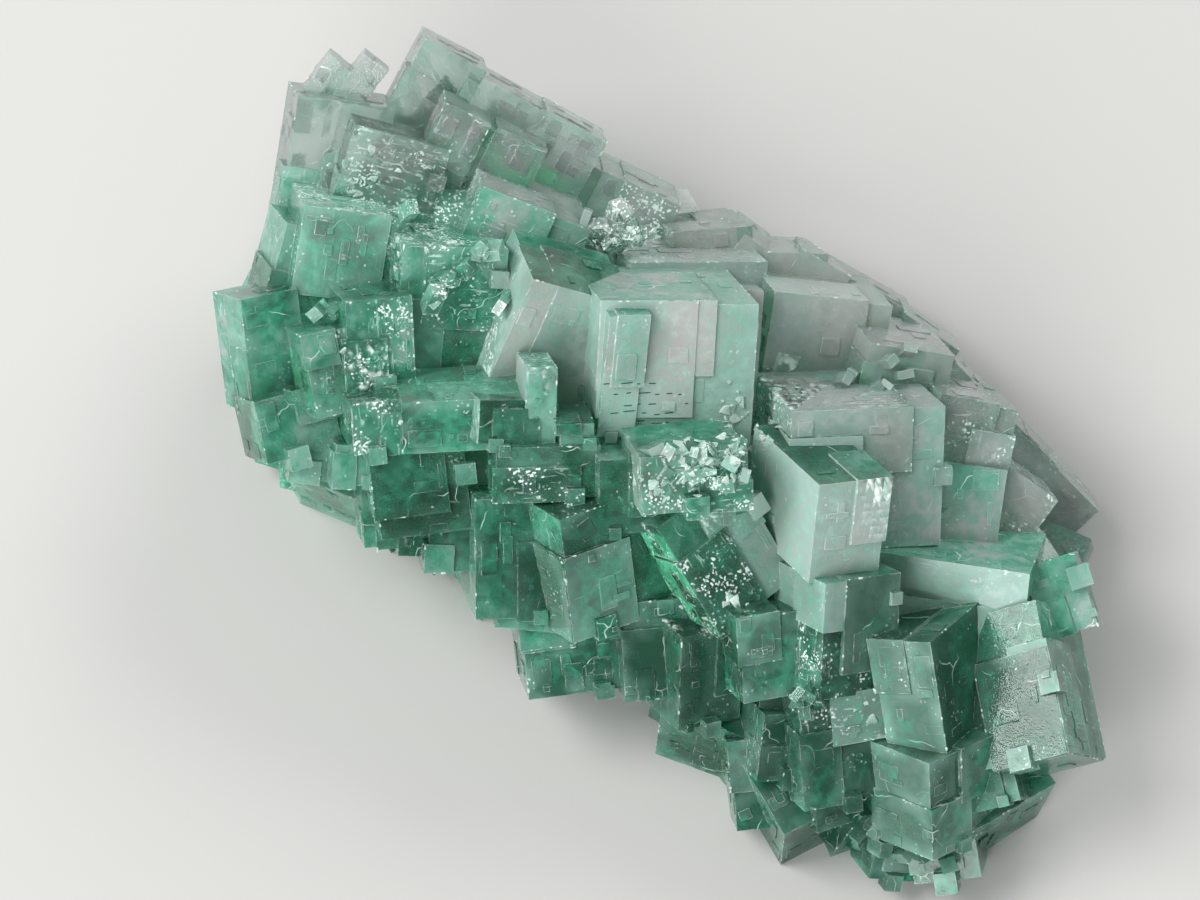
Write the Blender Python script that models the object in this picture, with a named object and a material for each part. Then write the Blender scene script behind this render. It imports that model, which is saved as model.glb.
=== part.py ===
"""A cluster of intergrown cubic crystals, lying on the flat break where it came off its rock.

The cluster is one solid. Every crystal is a box given by a corner of its front face, seen from the
display side, which is the side that the crystals grew towards. One union joins them all, and the
floor plane cuts the underside flat. Run with: blender --background --python part.py
"""

import math
import random
from dataclasses import dataclass

import bmesh
import bpy
from mathutils import Matrix, Vector

MM = 0.001

# Driving dimensions. The cluster lies with its long axis on X. The display side is looked at from
# DISPLAY_AZIMUTH round from the front and DISPLAY_ELEVATION above the floor.
DISPLAY_AZIMUTH = 44.0
DISPLAY_ELEVATION = 65.0
HEIGHT_OF_ORIGIN = 30.0  # mm, the display frame's origin above the floor

STEP_HEIGHTS = (0.2, 0.55)  # mm that a growth step stands proud of the faces that it lies on
LARGE_FACE = 120.0  # mm2, above which a crystal carries a second growth step
SMALL_CUBES = (1.3, 2.8)  # mm, the cubes that sit on the edges of larger crystals
EMBEDDED = 1.5  # mm that steps and small cubes reach into the crystal under them
FLOOR_CUT = 200.0  # mm, the edges of the block that cuts the underside flat
STEP_SEED, BREAK_SEED, SIDE_SEED = 7, 4, 31

NODE = "crystal_cluster"


@dataclass(frozen=True)
class Crystal:
    """A cubic crystal, in mm and degrees in the display frame (right, up, out to the viewer).

    size is the edges that run right, down and back. corner is the upper left corner of the front
    face, or with grip the point that far across and down it. yaw turns the left face into view,
    lean the top face, and turn is anticlockwise.
    """

    corner: tuple
    size: tuple
    yaw: float = 26.0
    lean: float = 24.0
    turn: float = 0.0
    grip: tuple = (0.0, 0.0)

    def axes(self):
        """The crystal's own axes: the origin at the front face's upper left corner."""
        width, height, _ = self.size
        across, down = self.grip
        return (
            Matrix.Translation(self.corner)
            @ Matrix.Rotation(math.radians(self.turn), 4, "Z")
            @ Matrix.Rotation(math.radians(self.lean), 4, "X")
            @ Matrix.Rotation(math.radians(self.yaw), 4, "Y")
            @ Matrix.Translation((-width * across, height * down, 0))
        )

    def body(self):
        """The matrix that makes a unit cube the whole crystal."""
        width, height, depth = self.size
        return self.block((0, -height, -depth), (width, 0, 0))

    def block(self, low, high):
        """The matrix that makes a unit cube a block between two corners on the crystal's axes."""
        low, high = Vector(low), Vector(high)
        size = high - low
        return self.axes() @ Matrix.Translation((low + high) / 2) @ Matrix.Diagonal((*size, 1))


# The ridge: the tallest crystals, in a row down the long axis.
RIDGE = (
    Crystal((19.3, -4.0, 13.0), (9.0, 12.5, 17.0), 26, 24, -5),
    Crystal((16.7, 4.3, 4.0), (18.5, 17.0, 20.0), 13, 16, -1),
    Crystal((-5.3, 16.9, 5.0), (18.5, 19.0, 18.0), 12, 16, -3),
    Crystal((-13.2, 19.6, 3.0), (12.5, 21.0, 13.0), 25, 24.5, -25),
    Crystal((-28.8, 24.0, -1.0), (12.0, 16.5, 14.0), 14, 14, -6),
    Crystal((-4.6, 15.4, 7.0), (4.4, 15.0, 8.0), 16, 22, -6),
    Crystal((-14.2, 9.5, 7.0), (3.6, 10.5, 8.0), 10, 14, -2),
    Crystal((-10.4, 2.9, 6.4), (4.0, 2.6, 6.0), 8, 22, 0),
)

# The lower flank, from its upper left down to its lower right.
LOWER_FLANK = (
    Crystal((-28.8, 5.4, 5.0), (18.0, 6.5, 10.0), 8, 24, 0),
    Crystal((-34.8, 5.2, 4.0), (13.5, 6.2, 12.0), 12, 18, 4),
    Crystal((-19.6, 5.8, 7.0), (5.4, 5.2, 6.0), 14, 10, -3),
    Crystal((-32.4, -0.6, 1.0), (10.8, 10.2, 14.0), 7, 10.5, 5.7),
    Crystal((-34.3, -3.5, -6.0), (6.0, 8.3, 10.0), 8, 10, 4),
    Crystal((-29.5, -9.2, -5.0), (4.5, 3.4, 8.0), 8, 10, -3),
    Crystal((-25.8, -8.1, -3.0), (6.2, 6.2, 12.0), 8, 10, -3),
    Crystal((-20.3, -5.8, 3.0), (12.0, 14.4, 16.0), 8, 12, 0),
    Crystal((-17.8, 0.2, 6.5), (12.2, 6.2, 12.0), 6, 16, 0),
    Crystal((-5.8, -1.2, 7.5), (7.0, 9.0, 12.0), 10, 16, 0),
    Crystal((-1.2, -0.9, 12.0), (12.6, 7.0, 12.0), 10, 18, 2),
    Crystal((0.9, -9.0, 8.5), (11.5, 15.5, 14.0), 18, 20, 31),
    Crystal((-10.4, -8.1, 8.5), (14.4, 15.0, 15.0), 27.6, 23, 7),
    Crystal((-15.4, -17.5, -2.0), (13.0, 12.4, 14.0), 6, 12, 6),
    Crystal((-3.0, -18.0, 0.0), (8.0, 11.5, 12.0), 8, 14, 3),
    Crystal((3.8, -21.9, 3.0), (8.3, 12.5, 11.0), 28, 25.6, -2),
    Crystal((10.4, -19.8, 6.0), (7.6, 10.3, 12.0), 18, 18, 3.5),
    Crystal((20.2, -15.5, 9.5), (9.6, 14.0, 12.0), 30, 15, -2),
    Crystal((9.6, -34.6, -4.0), (13.4, 10.8, 14.0), 4, 10, 5),
    Crystal((13.5, -31.0, 1.0), (8.0, 8.0, 10.0), 20, 18, -6),
    Crystal((17.3, -29.3, 5.0), (11.5, 13.0, 12.0), 15, 15, 5),
    Crystal((19.0, -33.0, 3.5), (8.0, 12.8, 14.8), 24.5, 25, 5),
    Crystal((27.2, -45.2, -3.0), (7.0, 5.8, 8.0), 20, 16, -12),
    Crystal((30.5, -45.8, -4.0), (8.0, 5.8, 8.0), -12, 10, 10),
)

# The right end, where the crystals turn their right faces to the viewer.
RIGHT_END = (
    Crystal((32.2, -22.1, 9.5), (7.7, 15.2, 22.0), -33, 16, 10, (1.0, 0.0)),
    Crystal((48.1, -34.7, 6.0), (11.0, 18.0, 13.0), -26, -14, 10, (1.0, 1.0)),
    Crystal((44.0, -14.0, -3.0), (6.4, 9.0, 12.0), -8, -4, 18),
    Crystal((32.2, -36.2, 8.0), (11.6, 11.9, 11.1), 41, 20.6, 3),
    Crystal((35.0, -37.0, -1.0), (7.5, 6.0, 12.0), -16, -6, 14),
    Crystal((27.0, -12.0, -2.0), (18.0, 16.0, 14.0), -12, 20, -4),
)

# The left end: a rounded bulge of small crystals.
LEFT_END = (
    Crystal((-46.6, 5.6, -3.0), (9.5, 7.6, 10.0), 18, 10, 12),
    Crystal((-48.0, 17.5, -4.0), (13.0, 14.0, 9.0), 27, 14, 6),
    Crystal((-43.0, 27.0, -8.0), (12.0, 14.0, 9.0), 22, 14, -16),
    Crystal((-40.6, 13.2, 1.5), (7.0, 10.0, 10.0), 15, 12, 10),
    Crystal((-35.5, 17.3, 2.5), (8.0, 11.0, 10.0), 14, 14, 2),
    Crystal((-42.0, 1.2, -6.0), (8.6, 4.6, 10.0), 8, 10, -8),
    Crystal((-36.8, 0.6, -2.0), (4.8, 4.8, 8.0), 10, 8, -3),
)

# The upper left: colourless blocks, turned the way that the ridge's second crystal is.
UPPER_LEFT = (
    Crystal((-42.2, 42.8, -15.0), (12.0, 20.0, 9.0), 14, 14, -10),
    Crystal((-38.6, 47.7, -18.0), (3.6, 9.0, 6.0), 12, 10, -38),
    Crystal((-34.3, 48.0, -18.0), (3.0, 8.0, 5.0), 12, 10, -40),
    Crystal((-27.0, 50.0, -19.0), (8.6, 13.0, 10.0), 11, 11, -29),
    Crystal((-20.0, 45.2, -19.0), (17.0, 15.0, 11.0), 11, 11, -30),
    Crystal((-24.2, 41.4, -14.0), (13.0, 14.0, 16.0), 11, 14, -27),
    Crystal((-35.0, 39.0, -11.0), (12.0, 15.0, 16.0), 14, 14, -18),
    Crystal((-40.3, 28.8, -5.0), (12.0, 13.0, 14.0), 14, 14, -10),
    Crystal((-19.6, 31.0, -8.0), (14.0, 13.0, 16.0), 14, 16, -24),
    Crystal((-11.5, 37.0, -23.0), (17.0, 14.0, 12.0), 11, 14, -27),
)

# The upper right: a thin clear edge that steps down to the rock.
UPPER_RIGHT = (
    Crystal((3.4, 26.3, -20.0), (9.4, 14.0, 14.0), 10, 14, 3),
    Crystal((12.0, 26.4, -21.0), (5.0, 12.0, 12.0), 12, 12, -38),
    Crystal((14.4, 24.2, -21.0), (8.0, 14.0, 12.0), 12, 12, -4),
    Crystal((19.2, 24.2, -22.0), (16.0, 15.0, 9.0), 11, 12, -31),
    Crystal((31.6, 16.6, -21.0), (8.2, 15.0, 8.0), 11, 12, -36),
    Crystal((37.4, 10.0, -18.0), (25.0, 13.0, 9.0), 11, 12, -47),
    Crystal((-2.0, 22.5, -12.0), (17.0, 14.0, 14.0), 14, 16, -3),
    Crystal((15.5, 18.6, -11.0), (14.5, 14.0, 14.0), 14, 16, -9),
    Crystal((26.5, 12.7, -7.0), (10.5, 12.0, 14.0), 14, 16, -12),
    Crystal((34.8, 6.2, -5.0), (9.5, 14.0, 14.0), 12, 12, -12),
    Crystal((41.0, -0.5, -9.0), (10.0, 10.0, 12.0), 10, 8, -36),
)

# The heart that all of them grow from, down to the rock. Only the far sides show any of it.
HEART = (
    Crystal((-39.0, 37.0, -18.0), (22.0, 27.0, 38.0), 0, -18, -10),
    Crystal((-43.0, 21.0, -12.0), (22.0, 18.0, 38.0), 0, -12, 3),
    Crystal((-31.0, 8.0, -3.0), (28.0, 15.0, 45.0), 4, 5, 2),
    Crystal((-20.0, 21.0, -6.0), (34.0, 26.0, 42.0), 5, 7, -4),
    Crystal((-15.0, 34.0, -26.0), (26.0, 18.0, 28.0), 0, -20, -26),
    Crystal((6.0, 19.0, -17.0), (26.0, 18.0, 28.0), 0, -20, -20),
    Crystal((26.0, 9.0, -17.0), (17.0, 22.0, 28.0), 0, -18, -32),
    Crystal((-16.0, -2.0, 0.0), (28.0, 19.0, 40.0), 5, 4, -6),
    Crystal((10.0, 2.0, -5.0), (33.0, 20.0, 40.0), 3, 5, -8),
    Crystal((15.0, -15.0, 0.0), (28.0, 22.0, 38.0), 2, 4, -8),
)

CRYSTALS = RIDGE + LOWER_FLANK + RIGHT_END + LEFT_END + UPPER_LEFT + UPPER_RIGHT


# Where crystals broke off, the face is a heap of small tilted blocks: a middle, the heap's half
# width, half height and slope outwards to the right, and the number of blocks.
BREAKS = (
    ((5.0, -1.8, 10.4), (5.4, 2.0), 0.12, 22),
    ((11.8, 4.4, 6.6), (2.4, 3.4), -0.2, 12),
    ((-30.0, 33.0, -7.4), (7.0, 5.0), 0.05, 18),
    ((-22.0, 20.0, -0.9), (5.0, 4.0), 0.0, 10),
    ((-3.0, 26.5, -13.4), (5.0, 2.4), 0.0, 12),
    ((-40.0, 19.0, -1.9), (4.5, 4.0), 0.1, 8),
    ((31.0, -46.5, -2.7), (5.0, 2.2), 0.0, 12),
    ((22.0, -29.0, 6.2), (5.0, 1.0), 0.0, 9),
    ((27.0, 9.0, -7.4), (4.0, 3.0), -0.1, 8),
    ((9.0, -14.5, 8.0), (3.0, 1.4), 0.0, 6),
)
BREAK_BLOCKS = (0.9, 2.0)  # mm


# The sides that the display side hides, in mm on the floor and not as displayed: stations along
# them as (x, y, height), each with a squat crystal and a smaller one against it.
FAR_SIDE = (
    (-49.0, 7.0, 20.0),
    (-48.0, 15.0, 22.0),
    (-41.0, 20.0, 20.0),
    (-32.0, 22.0, 15.0),
    (-22.0, 25.0, 13.0),
    (-11.0, 28.0, 13.0),
    (0.0, 32.0, 11.0),
    (11.0, 34.0, 10.0),
    (22.0, 34.0, 9.0),
    (33.0, 31.0, 9.0),
    (41.0, 24.0, 12.0),
    (45.0, 16.0, 11.0),
)
NEAR_SIDE = (
    (-50.0, -11.0, 17.0),
    (-41.0, -15.0, 15.0),
    (-32.0, -17.0, 14.0),
    (-23.0, -16.0, 14.0),
    (-14.0, -13.0, 12.0),
    (-5.0, -12.0, 13.0),
    (4.0, -11.5, 11.0),
    (14.0, -9.0, 11.0),
    (24.0, -9.5, 9.0),
    (33.0, -8.0, 9.0),
    (41.0, -4.5, 8.0),
    (47.0, 1.5, 9.0),
    (48.0, 8.5, 10.0),
)
SIDE_CRYSTALS = (9.0, 14.0)  # mm


def display_matrix():
    """The display frame's place above the floor, in metres: its axes are right, up and out."""
    azimuth = math.radians(DISPLAY_AZIMUTH)
    elevation = math.radians(DISPLAY_ELEVATION)
    right = Vector((math.cos(azimuth), math.sin(azimuth), 0))
    out = Vector(
        (
            math.sin(azimuth) * math.cos(elevation),
            -math.cos(azimuth) * math.cos(elevation),
            math.sin(elevation),
        )
    )
    axes = Matrix((right, out.cross(right), out)).transposed().to_4x4()
    return Matrix.Scale(MM, 4) @ Matrix.Translation((0, 0, HEIGHT_OF_ORIGIN)) @ axes


def stepped_span(length, chance):
    """Low and high ends of a step along an edge: it runs past one end of the edge, chosen at random."""
    proud = chance.uniform(*STEP_HEIGHTS)
    reach = chance.uniform(0.4, 0.85) * length
    return (-proud, reach) if chance.random() < 0.5 else (length - reach, length + proud)


def growth_steps(crystal, chance):
    """Blocks that thicken a corner of the crystal a little, so that ledges run round its faces."""
    width, height, depth = crystal.size
    for _ in range(2 if width * height > LARGE_FACE else 1):
        left, right = stepped_span(width, chance)
        top, bottom = stepped_span(height, chance)
        back = chance.uniform(0.4, 0.9) * depth
        yield crystal.block((left, -bottom, -back), (right, -top, chance.uniform(*STEP_HEIGHTS)))


def small_cubes(crystal, chance):
    """Small cubes astride the front face's lower and side edges."""
    width, height, _ = crystal.size
    for _ in range(1 if width * height < LARGE_FACE else 2):
        edge = chance.uniform(*SMALL_CUBES)
        if chance.random() < 0.5:
            across, down = chance.uniform(0.1, 0.7) * width, height - chance.uniform(0.4, 0.8) * edge
        else:
            across, down = width - chance.uniform(0.4, 0.8) * edge, chance.uniform(0.1, 0.7) * height
        proud = chance.uniform(0.3, 0.7) * edge
        yield crystal.block((across, -down - edge, -EMBEDDED), (across + edge, -down, proud))


def broken_blocks(middle, spread, slope, number, chance):
    """A heap of small blocks, each tilted its own way."""
    for _ in range(number):
        right = chance.uniform(-1, 1) * spread[0]
        up = chance.uniform(-1, 1) * spread[1]
        place = Vector(middle) + Vector((right, up, slope * right + chance.uniform(-0.6, 0.4)))
        size = Vector([chance.uniform(*BREAK_BLOCKS) for _ in range(3)])
        size.z += EMBEDDED
        tilt = Matrix.Rotation(math.radians(chance.uniform(-40, 40)), 4, "X")
        roll = Matrix.Rotation(math.radians(chance.uniform(-40, 40)), 4, "Y")
        turn = Matrix.Rotation(math.radians(chance.uniform(-45, 45)), 4, "Z")
        yield Matrix.Translation(place) @ turn @ tilt @ roll @ Matrix.Diagonal((*size, 1))


def side_crystals(stations, chance):
    """Crystals along a hidden side, on the floor's axes in mm, sunk below the floor to be cut."""
    for x, y, top in stations:
        for share in (1.0, 0.62):
            edge = chance.uniform(*SIDE_CRYSTALS) * (0.6 + 0.4 * share)
            shift = Vector((chance.uniform(-4, 4) * (2 - share), chance.uniform(-1, 1), -edge / 2))
            turn = Matrix.Rotation(math.radians(chance.uniform(-35, 35)), 4, "Z")
            tilt = Matrix.Rotation(math.radians(chance.uniform(-18, 18)), 4, "X")
            size = Matrix.Diagonal((edge, edge * 1.1, edge * 1.2, 1))
            yield Matrix.Translation(Vector((x, y, top * share)) + shift) @ turn @ tilt @ size


def all_blocks():
    """The matrix of every block of the cluster, in metres above the floor."""
    display = display_matrix()
    for crystal in HEART:
        yield display @ crystal.body()
    chance = random.Random(STEP_SEED)
    for crystal in CRYSTALS:
        yield display @ crystal.body()
        for block in growth_steps(crystal, chance):
            yield display @ block
        for block in small_cubes(crystal, chance):
            yield display @ block
    chance = random.Random(BREAK_SEED)
    for middle, spread, slope, number in BREAKS:
        for block in broken_blocks(middle, spread, slope, number, chance):
            yield display @ block
    chance = random.Random(SIDE_SEED)
    for block in side_crystals(FAR_SIDE + NEAR_SIDE, chance):
        yield Matrix.Scale(MM, 4) @ block


def make_block(name, matrix, collection):
    """A unit cube, put in place by a matrix, as an object of a collection."""
    mesh = bpy.data.meshes.new(name)
    shape = bmesh.new()
    bmesh.ops.create_cube(shape, size=1.0, matrix=matrix)
    shape.to_mesh(mesh)
    shape.free()
    block = bpy.data.objects.new(name, mesh)
    collection.objects.link(block)
    return block


def make_guide(block):
    """Marks a block that a Boolean reads as no part of the model."""
    block.hide_render = True
    block.display_type = "WIRE"


def evaluated_mesh(target):
    """The target's mesh with its modifiers applied."""
    graph = bpy.context.evaluated_depsgraph_get()
    return bpy.data.meshes.new_from_object(target.evaluated_get(graph))


def keep_outer_shell(shape):
    """Drops every shell but the largest, so that no hollow stays sealed between the crystals."""
    shape.faces.ensure_lookup_table()
    waiting = set(shape.faces)
    shells = []
    while waiting:
        shell, edge_of_shell = set(), [waiting.pop()]
        while edge_of_shell:
            face = edge_of_shell.pop()
            shell.add(face)
            for edge in face.edges:
                for other in edge.link_faces:
                    if other in waiting:
                        waiting.discard(other)
                        edge_of_shell.append(other)
        shells.append(shell)
    largest = max(shells, key=lambda shell: sum(face.calc_area() for face in shell))
    inner = [face for shell in shells if shell is not largest for face in shell]
    bmesh.ops.delete(shape, geom=inner, context="FACES")
    loose = [edge for edge in shape.edges if not edge.link_faces]
    bmesh.ops.delete(shape, geom=loose, context="EDGES")


def stand_on_origin(mesh):
    """Moves a mesh so that the middle of the underside of its box is at the origin."""
    points = [vertex.co for vertex in mesh.vertices]
    low = Vector([min(point[axis] for point in points) for axis in range(3)])
    high = Vector([max(point[axis] for point in points) for axis in range(3)])
    mesh.transform(Matrix.Translation((-(low.x + high.x) / 2, -(low.y + high.y) / 2, -low.z)))


def make_material():
    """Clear pale green crystal."""
    material = bpy.data.materials.new("clear_green_crystal")
    material.use_nodes = True
    shader = material.node_tree.nodes["Principled BSDF"]
    shader.inputs["Base Color"].default_value = (0.36, 0.62, 0.48, 1.0)
    shader.inputs["Roughness"].default_value = 0.22
    shader.inputs["IOR"].default_value = 1.434
    shader.inputs["Transmission Weight"].default_value = 0.7
    return material


def make_cluster():
    """The whole cluster, as one closed solid in one object."""
    scene = bpy.context.scene.collection
    guides = bpy.data.collections.new("crystals")
    scene.children.link(guides)
    blocks = list(all_blocks())
    cluster = make_block(NODE, blocks[0], scene)
    for number, matrix in enumerate(blocks[1:]):
        make_guide(make_block(f"crystal_{number:03d}", matrix, guides))
    joined = cluster.modifiers.new("joined", "BOOLEAN")
    joined.operation = "UNION"
    joined.operand_type = "COLLECTION"
    joined.collection = guides
    floor_cut = Matrix.Diagonal((FLOOR_CUT * MM, FLOOR_CUT * MM, FLOOR_CUT * MM, 1))
    under = make_block("floor", Matrix.Translation((0, 0, -FLOOR_CUT * MM / 2)) @ floor_cut, scene)
    make_guide(under)
    cut = cluster.modifiers.new("cut flat", "BOOLEAN")
    cut.operation = "DIFFERENCE"
    cut.object = under
    mesh = evaluated_mesh(cluster)
    cluster.modifiers.clear()
    for guide in [*guides.objects, under]:
        bpy.data.objects.remove(guide)
    shape = bmesh.new()
    shape.from_mesh(mesh)
    bmesh.ops.remove_doubles(shape, verts=shape.verts, dist=0.000001)
    bmesh.ops.triangulate(shape, faces=shape.faces)
    keep_outer_shell(shape)
    bmesh.ops.recalc_face_normals(shape, faces=shape.faces)
    shape.to_mesh(mesh)
    shape.free()
    stand_on_origin(mesh)
    mesh.materials.clear()
    mesh.materials.append(make_material())
    cluster.data = mesh
    return cluster


if __name__ == "__main__":
    for old in list(bpy.data.objects):
        bpy.data.objects.remove(old)
    make_cluster()
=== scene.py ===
"""Dresses the cluster of intergrown cubic crystals: its etched faces, broken ledges and inner veils."""

import itertools
import logging
import math
import random
from collections.abc import Callable
from dataclasses import dataclass, field
from enum import Enum
from typing import Any

import bmesh
import bpy
from mathutils import Euler, Matrix, Vector
from mathutils.bvhtree import BVHTree
from mathutils.kdtree import KDTree


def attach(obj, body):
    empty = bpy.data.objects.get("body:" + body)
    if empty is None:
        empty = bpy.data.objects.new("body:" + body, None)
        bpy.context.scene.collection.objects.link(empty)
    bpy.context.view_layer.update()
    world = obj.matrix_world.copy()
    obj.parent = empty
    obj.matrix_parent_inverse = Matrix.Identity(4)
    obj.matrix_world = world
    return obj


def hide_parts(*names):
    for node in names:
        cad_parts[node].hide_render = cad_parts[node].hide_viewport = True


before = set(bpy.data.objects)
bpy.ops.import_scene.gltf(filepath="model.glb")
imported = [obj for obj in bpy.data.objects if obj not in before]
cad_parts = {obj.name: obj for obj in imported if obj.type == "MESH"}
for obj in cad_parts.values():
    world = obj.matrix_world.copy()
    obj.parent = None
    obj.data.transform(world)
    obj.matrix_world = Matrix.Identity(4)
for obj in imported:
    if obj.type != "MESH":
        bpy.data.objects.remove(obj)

LOG = logging.getLogger("crystal_cluster")

MM = 0.001
NODE = "crystal_cluster"

Socket = bpy.types.NodeSocket
Value = Socket | float | tuple[float, ...]
Inputs = dict[str | int, Value]

# The display side is looked at from this azimuth and elevation, and the display frame (right, up
# and out to the viewer, in mm) has its origin here in the row's frame.
DISPLAY_AZIMUTH = 44.0
DISPLAY_ELEVATION = 65.0
DISPLAY_ORIGIN = Vector((3.16, -7.07, 30.0))


def display_axes() -> Matrix:
    """The display frame's directions.

    Returns:
        A rotation matrix with right, up and out as its columns.
    """
    azimuth, elevation = math.radians(DISPLAY_AZIMUTH), math.radians(DISPLAY_ELEVATION)
    right = Vector((math.cos(azimuth), math.sin(azimuth), 0.0))
    level = math.cos(elevation)
    out = Vector((math.sin(azimuth) * level, -math.cos(azimuth) * level, math.sin(elevation)))
    return Matrix((right, out.cross(right), out)).transposed()


AXES = display_axes()


def from_display(point: Vector) -> Vector:
    """A point of the display frame, in mm, as a point of the row's frame, in metres."""
    return (AXES @ Vector(point) + DISPLAY_ORIGIN) * MM


def to_display(point: Vector) -> Vector:
    """A point of the row's frame, in metres, as a point of the display frame, in mm."""
    return AXES.transposed() @ (Vector(point) / MM - DISPLAY_ORIGIN)


def smooth(low: float, high: float, value: float) -> float:
    """A smooth step from 0 at low to 1 at high, where low may be the larger."""
    share = min(max((value - low) / (high - low), 0.0), 1.0)
    return share * share * (3.0 - 2.0 * share)


def linear(hex_colour: str) -> tuple[float, float, float, float]:
    """An sRGB hex colour, such as 9fd0b8, as linear red, green, blue and alpha."""
    values = [int(hex_colour[place : place + 2], 16) / 255 for place in (0, 2, 4)]
    return (*(v / 12.92 if v <= 0.04045 else ((v + 0.055) / 1.055) ** 2.4 for v in values), 1.0)


def deselect_all() -> None:
    """Leaves object mode with nothing selected and nothing active."""
    if bpy.context.object and bpy.context.object.mode != "OBJECT":
        bpy.ops.object.mode_set(mode="OBJECT")
    bpy.ops.object.select_all(action="DESELECT")


def make_active(piece: bpy.types.Object) -> None:
    """Selects one object alone and makes it active."""
    deselect_all()
    piece.select_set(True)
    bpy.context.view_layer.objects.active = piece


def new_object(name: str, data: bpy.types.ID) -> bpy.types.Object:
    """A new object in the scene.

    Args:
        name: the object's name.
        data: its mesh, light or camera.

    Returns:
        The object.
    """
    made = bpy.data.objects.new(name, data)
    bpy.context.scene.collection.objects.link(made)
    return made


def cut_off(place: tuple[float, float, float], outward: tuple[float, float, float]) -> None:
    """Cuts off what lies outward of the plane through a place, and closes the cut, in edit mode."""
    bpy.ops.mesh.select_all(action="SELECT")
    bpy.ops.mesh.bisect(plane_co=place, plane_no=outward, use_fill=True, clear_outer=True)


def face_axes(mesh: bpy.types.Mesh, face: int) -> tuple[Vector, Vector]:
    """A face's own directions.

    Args:
        mesh: the mesh that the face belongs to.
        face: the face's number.

    Returns:
        The directions along and across its longest edge.
    """
    polygon = mesh.polygons[face]
    points = [mesh.vertices[index].co for index in polygon.vertices]
    edges = [points[place] - points[place - 1] for place in range(len(points))]
    along = max(edges, key=lambda edge: edge.length).normalized()
    return along, polygon.normal.cross(along)


class Paint:
    """A material being made: its node tree and its Principled shader."""

    def __init__(self, name: str) -> None:
        """Starts a material with a plain Principled shader.

        Args:
            name: the material's name.
        """
        self.material = bpy.data.materials.new(name)
        self.material.use_nodes = True
        self.tree = self.material.node_tree
        self.shader = self.tree.nodes["Principled BSDF"]

    def fill(self, node: bpy.types.Node, inputs: Inputs) -> None:
        """Sets a node's inputs.

        Args:
            node: the node.
            inputs: a value or another node's output, by the input's name or number.
        """
        for name, value in inputs.items():
            if isinstance(value, Socket):
                self.tree.links.new(value, node.inputs[name])
            else:
                node.inputs[name].default_value = value

    def add(self, kind: str, inputs: Inputs | None = None, **settings: Any) -> bpy.types.Node:
        """Adds a node.

        Args:
            kind: the node's type, such as ShaderNodeMath.
            inputs: a value or another node's output, by the input's name or number.
            settings: the node's own properties.

        Returns:
            The new node.
        """
        node = self.tree.nodes.new(kind)
        for name, value in settings.items():
            setattr(node, name, value)
        self.fill(node, inputs or {})
        return node

    def solid_place(self) -> Socket:
        """The coordinates in the solid, in metres."""
        return self.add("ShaderNodeTexCoord").outputs["Object"]

    def stored(self, name: str) -> bpy.types.NodeOutputs:
        """What the mesh stores under a name."""
        return self.add("ShaderNodeAttribute", attribute_name=name).outputs

    def split(self, colour: Socket) -> bpy.types.NodeOutputs:
        """A colour's red, green and blue."""
        return self.add("ShaderNodeSeparateColor", {"Color": colour}).outputs

    def in_range(self, value: Socket, low: float, high: float, start: float = 0, end: float = 1) -> Socket:
        """A value from low to high, moved to the range from start to end and held inside it."""
        return self.add("ShaderNodeMapRange", {0: value, 1: low, 2: high, 3: start, 4: end}).outputs[0]

    def calculate(self, operation: str, first: Value, second: Value, clamp: bool = False) -> Socket:
        """A Math node's result, such as MAXIMUM of two values."""
        node = self.add("ShaderNodeMath", {0: first, 1: second}, operation=operation, use_clamp=clamp)
        return node.outputs[0]

    def times(self, first: Value, second: Value) -> Socket:
        """Two values multiplied."""
        return self.calculate("MULTIPLY", first, second)

    def plus(self, first: Value, second: Value, clamp: bool = False) -> Socket:
        """Two values added."""
        return self.calculate("ADD", first, second, clamp)

    def blend(self, share: Socket, first: Value, second: Value) -> Socket:
        """One colour blended into another by a share."""
        inputs = {"Factor": share, "A": first, "B": second}
        return self.add("ShaderNodeMix", inputs, data_type="RGBA").outputs["Result"]

    def noise(self, place: Socket, size: float, detail: float = 1.0, dimensions: str = "3D") -> Socket:
        """A cloud pattern from 0 to 1, of clouds of one size, in 2D along a face or in the solid."""
        inputs = {"Vector": place, "Scale": 1.0 / size, "Detail": detail}
        return self.add("ShaderNodeTexNoise", inputs, noise_dimensions=dimensions).outputs["Fac"]

    def bump(self, height: Socket, distance: float, strength: float) -> None:
        """Gives the shader a relief from a height of 0 to 1, where 1 is as high as the distance in mm."""
        inputs = {"Height": height, "Distance": distance * MM, "Strength": strength}
        self.fill(self.shader, {"Normal": self.add("ShaderNodeBump", inputs).outputs["Normal"]})


class Facing(Enum):
    """Which way a crystal face looks, as displayed."""

    FRONT = "front"
    TOP = "top"
    SIDE = "side"
    HIDDEN = "hidden"


@dataclass(frozen=True)
class Zone:
    """An ellipse of the display side, in mm, where the crystal differs from the rest."""

    right: float
    up: float
    half_width: float
    half_height: float
    amount: float

    def weight(self, place: Vector) -> float:
        """How much of the zone's amount a place gets.

        Args:
            place: a place of the display side, in mm.

        Returns:
            The amount, which fades out over the zone's rim.
        """
        across = (place.x - self.right) / self.half_width
        along = (place.y - self.up) / self.half_height
        return self.amount * smooth(1.25, 0.75, math.hypot(across, along))


def most(zones: tuple[Zone, ...], place: Vector) -> float:
    """The largest amount that any zone gives a place."""
    return max(zone.weight(place) for zone in zones)


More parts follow.
